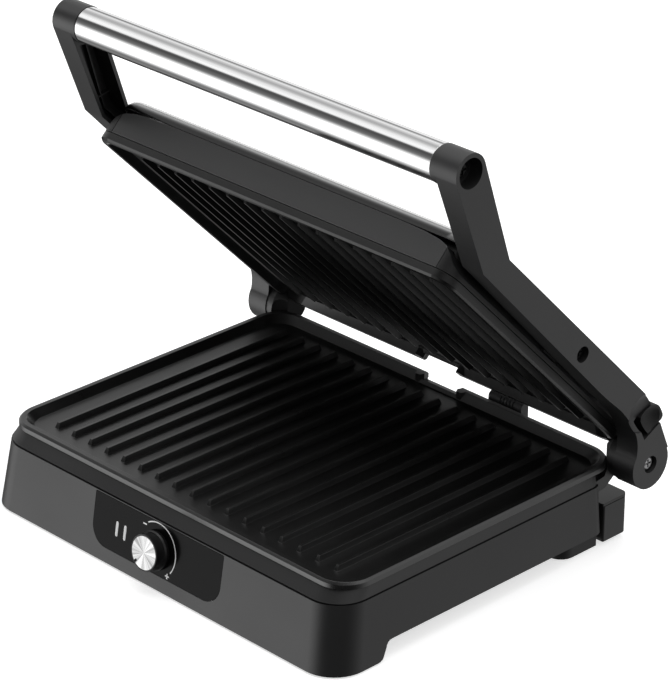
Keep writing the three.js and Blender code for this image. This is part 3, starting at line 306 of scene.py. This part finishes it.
def painted(name, tone, roughness):
    """Screen-printed ink: nearly white, with a little tooth."""
    material, n, shader = new_material(name)
    at = n.place()
    tooth = n.noise(at, 2600.0, 2.0)
    link(n, n.mix(n.remap(tooth, 0.3, 0.7, 0.0, 1.0), rgba(tone * 0.9), rgba(tone)), shader, "Base Color")
    link(n, n.remap(tooth, 0.3, 0.7, roughness - 0.05, roughness + 0.05), shader, "Roughness")
    link(n, n.bump(tooth, 0.1, 0.00001), shader, "Normal")
    return material


MATERIALS = {
    "charcoal": plastic("charcoal_satin", 0.0105, 0.42, 0.47),
    # The arm, shoulder and fascia looks are copies of the charcoal plastic with tone and gloss changed part
    # by part: painted light and shade.
    "arm": plastic("arm_satin_painted_light_and_shade", 0.0105, 0.46, 0.62),
    "shoulder": plastic("shoulder_satin_painted_light_and_shade", 0.008, 0.44, 0.58),
    "fascia": plastic("fascia_satin_painted_light_and_shade", 0.0105, 0.44, 0.85),
    "dark": plastic("dark_matte", 0.006, 0.55, 0.4, grain=1600.0, depth=0.00004),
    "gloss": plastic("gloss_black", 0.0035, 0.16, 0.055, grain=500.0, depth=0.000002, spread=0.03),
    "knob": plastic("knob_black", 0.006, 0.3, 0.4, spread=0.04),
    "nonstick": nonstick("nonstick_black"),
    # The upper plate's look and the rib-end look are copies of the same coating with less gloss: painted
    # shade.
    "nonstick_upper_painted_shade": nonstick("nonstick_upper_painted_shade", 0.36),
    "nonstick_rib_end_painted_shade": nonstick("nonstick_rib_end_painted_shade", 0.1),
    "tube": brushed("handle_polished", 0.72, 0.085, (6.0, 900.0, 900.0), 0.2, 0.000002, 0.02),
    "cover": cover_steel("cover_brushed"),
    "spun": spun("knob_spun"),
    "reflector": brushed("reflector_mill", 0.5, 0.35, (40.0, 700.0, 700.0), 0.2),
    "zinc": zinc("zinc_plate", 0.5),
    "black_zinc": zinc("black_zinc_plate", 0.03),
    "rubber": plastic("rubber_black", 0.01, 0.72, 0.3, grain=1100.0, depth=0.00006),
    "boot": plastic("boot_rubber", 0.032, 0.6, 0.5, grain=900.0, depth=0.00008),
    "lens": painted("lamp_lens", 0.85, 0.25),
    # One flat black serves the knob's printed pointer and the inner ends of the hinge knuckles.
    "flat_black": plastic("dull_black", 0.002, 0.6, 0.1),
    "ink": painted("scale_ink", 0.97, 0.5),
    "phenolic": plastic("phenolic_brown", 0.09, 0.6, 0.4, tint=(1.2, 0.75, 0.45)),
}

LOOK_OF_SLOT = {
    "charcoal_plastic": "charcoal",
    "dark_plastic": "dark",
    "gloss_plastic": "gloss",
    "nonstick_plate": "nonstick",
    "handle_steel": "tube",
    "cover_steel": "cover",
    "spun_steel": "spun",
    "reflector_steel": "reflector",
    "zinc_steel": "zinc",
    "rubber": "rubber",
    "lamp_lens": "lens",
    "phenolic": "phenolic",
}
# Looks that differ from their slot's, fitted to the photograph's tones.
LOOK_OF_NODE = {
    # The arms, the base frame's shoulder and the fascia take those copies of the charcoal plastic: painted
    # light and shade.
    "left_arm": "arm",
    "right_arm": "arm",
    "base_frame": "shoulder",
    "lead_boot": "boot",
    # The upper plate takes the less glossy copy of the coating: painted shade.
    "upper_grill_plate": "nonstick_upper_painted_shade",
    "lid_fascia": "fascia",
    "thermostat_knob": "knob",
    "handle_screw_left": "black_zinc",
    "handle_screw_right": "black_zinc",
    "pivot_pin_left": "black_zinc",
    "pivot_pin_right": "black_zinc",
}

# ---------------------------------------------------------------- skins over the CAD nodes


def look_of(node):
    return MATERIALS[LOOK_OF_NODE.get(node, LOOK_OF_SLOT[SLOT_OF[node]])]


def add_object(name, mesh):
    piece = bpy.data.objects.new(name, mesh)
    bpy.context.scene.collection.objects.link(piece)
    return piece


MERGE_DISTANCE = 2e-6
FLAT_ANGLE = math.radians(0.6)
BEVEL_ANGLE = math.radians(28.0)
BEVEL_SEGMENTS = 2
NORMAL_WEIGHT = 80
CAD_NORMALS = ("custom_normal", "sharp_edge")

# The upper plate's rib ends get a low-gloss copy of the coating, painted shade that keeps them dark; the
# inner ends of the hinge knuckles are made flat black.
BLACK_END_LOOK = {"upper_grill_plate": "nonstick_rib_end_painted_shade", "base_frame": "flat_black"}
RIB_END_AREA = 2.5e-5
KNUCKLE_END_X = 0.1405
KNUCKLE_TIP_RADIUS = 0.0095
KNUCKLE_END_TOLERANCE = 2e-4


def is_black_end(node, face):
    """Rib ends of the upper plate, and inner ends of the hinge knuckles, show black in the photograph."""
    if node == "upper_grill_plate":
        # Painted shade: these rib-end faces take the low-gloss copy of the coating.
        return face.normal.y < -0.8 and face.calc_area() < RIB_END_AREA
    if node == "base_frame":
        centre = face.calc_center_bounds()
        faces_inwards = centre.x * face.normal.x < 0 and abs(face.normal.x) > 0.99
        at_end = abs(abs(centre.x) - KNUCKLE_END_X) < KNUCKLE_END_TOLERANCE
        off_axis = math.hypot(centre.y - HINGE.y, centre.z - HINGE.z)
        return faces_inwards and at_end and off_axis < KNUCKLE_TIP_RADIUS
    return False


def skin(node, bevel):
    """A copy of a CAD node with its flat faces merged and its edges softened."""
    mesh = NODES[node].data.copy()
    bm = bmesh.new()
    bm.from_mesh(mesh)
    bmesh.ops.remove_doubles(bm, verts=bm.verts, dist=MERGE_DISTANCE)
    bmesh.ops.dissolve_limit(bm, angle_limit=FLAT_ANGLE, verts=bm.verts, edges=bm.edges)
    bm.normal_update()
    mesh.materials.clear()
    mesh.materials.append(look_of(node))
    if node in BLACK_END_LOOK:
        mesh.materials.append(MATERIALS[BLACK_END_LOOK[node]])
    for face in bm.faces:
        face.smooth = True
        face.material_index = 1 if is_black_end(node, face) else 0
    bm.to_mesh(mesh)
    bm.free()
    for name in [a.name for a in mesh.attributes if a.name in CAD_NORMALS]:
        mesh.attributes.remove(mesh.attributes[name])
    piece = add_object(node + "_skin", mesh)
    modifier = piece.modifiers.new("bevel", "BEVEL")
    modifier.width = bevel
    modifier.segments = BEVEL_SEGMENTS
    modifier.limit_method = "ANGLE"
    modifier.angle_limit = BEVEL_ANGLE
    weighted = piece.modifiers.new("normals", "WEIGHTED_NORMAL")
    weighted.keep_sharp = True
    weighted.weight = NORMAL_WEIGHT
    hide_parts(node)
    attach(piece, BODY_OF[node])


# Bevel widths of the nodes that get a skin. The others are hidden or nearly so, and keep their CAD shape.
BEVELS = {
    "base_housing": 0.0008,
    "base_frame": 0.0006,
    "bottom_cover": 0.0005,
    "lower_grill_plate": 0.0005,
    "upper_grill_plate": 0.0005,
    "rear_shelf": 0.0012,
    "drip_tray": 0.0009,
    "lead_boot": 0.0003,
    "cord_gland": 0.0003,
    "left_arm": 0.0008,
    "right_arm": 0.0008,
    "handle_tube": 0.0002,
    "release_button": 0.0006,
    "lid_frame": 0.0005,
    "lid_fascia": 0.0003,
    "lid_cover": 0.0004,
    "control_panel": 0.0003,
    "thermostat_knob": 0.0003,
    "knob_face": 0.0002,
    "power_lamp": 0.0002,
    "ready_lamp": 0.0002,
    "hinge_screw_left": 0.0002,
    "hinge_screw_right": 0.0002,
    "pivot_pin_left": 0.0002,
    "pivot_pin_right": 0.0002,
    "handle_screw_left": 0.0002,
    "handle_screw_right": 0.0002,
}

for node_name in NODES:
    if node_name in BEVELS:
        skin(node_name, BEVELS[node_name])
    else:
        for cad_slot in NODES[node_name].material_slots:
            cad_slot.material = look_of(node_name)

# ---------------------------------------------------------------- printed marks and the pointer

MARK_LIFT = 0.00003
# The dial's scale. Turns are in degrees clockwise from the top.
SCALE_RADIUS = 0.0172
SCALE_WIDTH = 0.00078
SCALE_START = -32
SCALE_END = 125
SCALE_STEPS = 78
LOW_MARK_TURN = -43
LOW_MARK_LENGTH = 0.0032
HIGH_MARK_TURN = 137
HIGH_MARK_LENGTH = 0.0034
MARK_THICKNESS = 0.0009
LAMP_ACROSS = (-0.0353, -0.0281)
LAMP_UPWARD = 0.0002
LAMP_FRAME_WIDTH = 0.0021
LAMP_FRAME_HEIGHT = 0.0097
PILL_STEPS = 8
POINTER_TURN = 222
POINTER_OUTER_RADIUS = 0.01068
POINTER_OUTER_HALF_TURN = 5
POINTER_INNER_RADIUS = 0.0081
POINTER_INNER_HALF_TURN = 5.5
FACE_LEVEL = max((v.co - KNOB_CENTRE).dot(KNOB_AXIS) for v in NODES["knob_face"].data.vertices)


def on_dial(across, upward, level):
    """A point of the dial: across to the right, up the panel and out from it."""
    return KNOB_CENTRE + Vector((across, 0.0, 0.0)) + KNOB_UP * upward + KNOB_AXIS * level


def flat_mark(name, outlines, level, look, body):
    """Thin printed shapes lying on the dial, one face for each outline."""
    bm = bmesh.new()
    for outline in outlines:
        bm.faces.new([bm.verts.new(on_dial(x, y, level)) for x, y in outline])
    bmesh.ops.recalc_face_normals(bm, faces=bm.faces)
    for face in bm.faces:
        if face.normal.dot(KNOB_AXIS) < 0:
            face.normal_flip()
    mesh = bpy.data.meshes.new(name)
    bm.to_mesh(mesh)
    bm.free()
    piece = add_object(name, mesh)
    mesh.materials.append(MATERIALS[look])
    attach(piece, body)


def panel_mark(name, outlines):
    """A pale mark printed on the control panel."""
    flat_mark(name, outlines, MARK_LIFT, "ink", "base")


def ring_part(start, end, radius, width, steps):
    """Four-cornered strips along an arc."""
    strips = []
    for i in range(steps):
        corners = []
        for turn, reach in ((i, -1), (i + 1, -1), (i + 1, 1), (i, 1)):
            angle = math.radians(start + (end - start) * turn / steps)
            r = radius + reach * width / 2
            corners.append((r * math.sin(angle), r * math.cos(angle)))
        strips.append(corners)
    return strips


def bar(x, y, width, height):
    """A rectangle about a point."""
    return [
        (x - width / 2, y - height / 2),
        (x + width / 2, y - height / 2),
        (x + width / 2, y + height / 2),
        (x - width / 2, y + height / 2),
    ]


def pill(x, y, width, height):
    """An upright slot with round ends."""
    points = []
    for end in (1, -1):
        for step in range(PILL_STEPS + 1):
            angle = math.pi * step / PILL_STEPS
            drop = end * (height - width) / 2
            across = end * math.cos(angle) * width / 2
            upward = end * math.sin(angle) * width / 2
            points.append((x + across, y + drop + upward))
    return points


def polar(turn, radius):
    """Across and upward, for a turn clockwise from the top."""
    angle = math.radians(turn)
    return radius * math.sin(angle), radius * math.cos(angle)


low = polar(LOW_MARK_TURN, SCALE_RADIUS)
high = polar(HIGH_MARK_TURN, SCALE_RADIUS)
panel_mark("scale_arc", ring_part(SCALE_START, SCALE_END, SCALE_RADIUS, SCALE_WIDTH, SCALE_STEPS))
panel_mark("scale_low_mark", [bar(*low, LOW_MARK_LENGTH, MARK_THICKNESS)])
panel_mark(
    "scale_high_mark",
    [bar(*high, HIGH_MARK_LENGTH, MARK_THICKNESS), bar(*high, MARK_THICKNESS, HIGH_MARK_LENGTH)],
)
panel_mark("lamp_surround", [pill(x, LAMP_UPWARD, LAMP_FRAME_WIDTH, LAMP_FRAME_HEIGHT) for x in LAMP_ACROSS])
pointer = [
    polar(POINTER_TURN - POINTER_OUTER_HALF_TURN, POINTER_OUTER_RADIUS),
    polar(POINTER_TURN + POINTER_OUTER_HALF_TURN, POINTER_OUTER_RADIUS),
    polar(POINTER_TURN + POINTER_INNER_HALF_TURN, POINTER_INNER_RADIUS),
    polar(POINTER_TURN - POINTER_INNER_HALF_TURN, POINTER_INNER_RADIUS),
]
flat_mark("knob_pointer", [pointer], FACE_LEVEL + MARK_LIFT, "flat_black", "knob")

# ---------------------------------------------------------------- studio

# Strength of the light that comes from the left, round the X axis: degrees from the rear, up over the top,
# down the front and under. The strips were set so that the handle tube shows the photograph's lines.
STUDIO_BANDS = [
    (0, 1.0), (20, 1.0), (27, 0.25), (33, 0.1), (39, 0.5), (48, 1.0), (62, 0.7), (73, 0.47),
    (84, 0.62), (97, 1.05), (112, 1.3), (121, 1.15), (127, 0.12), (135, 0.05), (150, 0.12), (160, 0.24),
    (166, 0.6), (173, 1.2), (182, 2.1), (224, 2.1), (232, 1.1), (241, 0.6), (250, 0.22), (262, 0.17),
    (273, 0.2), (283, 0.06), (318, 0.04), (330, 0.3), (345, 0.8),
]
# A colour ramp holds values up to one, so the strengths are divided by this and multiplied again later.
BAND_SCALE = 2.5
# The bands fade out between these X parts of a ray's direction.
BANDS_GONE_AT = 0.05
BANDS_FULL_AT = -0.4
# Broad soft lights from other sides: direction, how narrow, how strong.
LOBES = [
    ((0.72, 0.63, -0.28), 6.0, 0.75),
    ((0.10, 0.75, 0.65), 5.0, 0.7),
    ((0.72, 0.22, 0.66), 7.0, 1.1),
    ((0.64, -0.66, 0.38), 9.0, 0.5),
    ((-0.05, 0.40, -0.90), 10.0, 1.9),
]
AMBIENT = 0.04
WHITE = (1, 1, 1, 1)


def glow_world():
    """A soft studio all round: plain white to the camera, with strips and lobes that light the object."""
    world = bpy.data.worlds.new("studio")
    bpy.context.scene.world = world
    world.use_nodes = True
    tree = world.node_tree
    tree.nodes.clear()
    n = Nodes(tree)
    ray = n.vector("NORMALIZE", n.add("ShaderNodeTexCoord").outputs["Generated"])
    axes = n.add("ShaderNodeSeparateXYZ", {0: ray})
    turn = n.math("ARCTAN2", axes.outputs["Z"], axes.outputs["Y"])
    share = n.math("FRACT", n.math("ADD", n.math("DIVIDE", turn, 2 * math.pi), 1.0))
    ramp = n.add("ShaderNodeValToRGB", {0: share})
    stops = ramp.color_ramp.elements
    stops[0].position, stops[1].position = 0.0, 1.0
    for degrees, strength in STUDIO_BANDS:
        stop = stops[0] if degrees == 0 else stops.new(degrees / 360.0)
        stop.color = (strength / BAND_SCALE,) * 3 + (1.0,)
    stops[len(stops) - 1].color = (STUDIO_BANDS[0][1] / BAND_SCALE,) * 3 + (1.0,)
    fade = {"Value": axes.outputs["X"], "From Min": BANDS_GONE_AT, "From Max": BANDS_FULL_AT}
    fade.update({"To Min": 0.0, "To Max": BAND_SCALE})
    left = n.add("ShaderNodeMapRange", fade, interpolation_type="SMOOTHSTEP").outputs[0]
    total = n.math("MULTIPLY", ramp.outputs[0], left)
    for direction, power, strength in LOBES:
        toward = tuple(Vector(direction).normalized())
        facing = n.math("MAXIMUM", n.vector("DOT_PRODUCT", ray, toward), 0.0)
        part = n.math("MULTIPLY", n.math("POWER", facing, power), strength)
        total = n.math("ADD", total, part)
    total = n.math("ADD", total, AMBIENT)
    light = n.add("ShaderNodeBackground", {"Color": WHITE, "Strength": total})
    white = n.add("ShaderNodeBackground", {"Color": WHITE, "Strength": 1.0})
    path = n.add("ShaderNodeLightPath").outputs["Is Camera Ray"]
    mixed = n.add("ShaderNodeMixShader", {0: path, 1: light.outputs[0], 2: white.outputs[0]})
    n.add("ShaderNodeOutputWorld", {"Surface": mixed.outputs[0]})


FLOOR_REACH = 6.0
FLOOR_TONE = 0.8
FLOOR_GLOW = 0.62


def add_floor():
    """A pale floor that glows a little, and throws no light, reflection or shadow onto the object."""
    mesh = bpy.data.meshes.new("floor")
    reach = FLOOR_REACH
    corners = [(-reach, -reach, 0), (reach, -reach, 0), (reach, reach, 0), (-reach, reach, 0)]
    mesh.from_pydata([Vector(c) for c in corners], [], [(0, 1, 2, 3)])
    floor = add_object("floor", mesh)
    material, n, shader = new_material("floor_pale")
    shader.inputs["Base Color"].default_value = rgba(FLOOR_TONE)
    shader.inputs["Roughness"].default_value = 0.9
    shader.inputs["Emission Color"].default_value = WHITE
    shader.inputs["Emission Strength"].default_value = FLOOR_GLOW
    mesh.materials.append(material)
    floor.visible_glossy = False
    floor.visible_diffuse = False
    floor.visible_shadow = False


SOFTBOX_PLACE = Vector((0.1, 0.2, 1.9))
SOFTBOX_SIDE = 1.6
SOFTBOX_WATTS = 16.0


def add_softbox():
    """One large square light overhead, turned towards the origin."""
    data = bpy.data.lights.new("overhead", "AREA")
    data.shape = "RECTANGLE"
    data.size = SOFTBOX_SIDE
    data.size_y = SOFTBOX_SIDE
    data.energy = SOFTBOX_WATTS
    lamp = bpy.data.objects.new("overhead", data)
    lamp.rotation_euler = (-SOFTBOX_PLACE).to_track_quat("-Z", "Y").to_euler()
    lamp.location = SOFTBOX_PLACE
    bpy.context.scene.collection.objects.link(lamp)


glow_world()
add_floor()
add_softbox()
bpy.context.scene.view_settings.view_transform = "Standard"
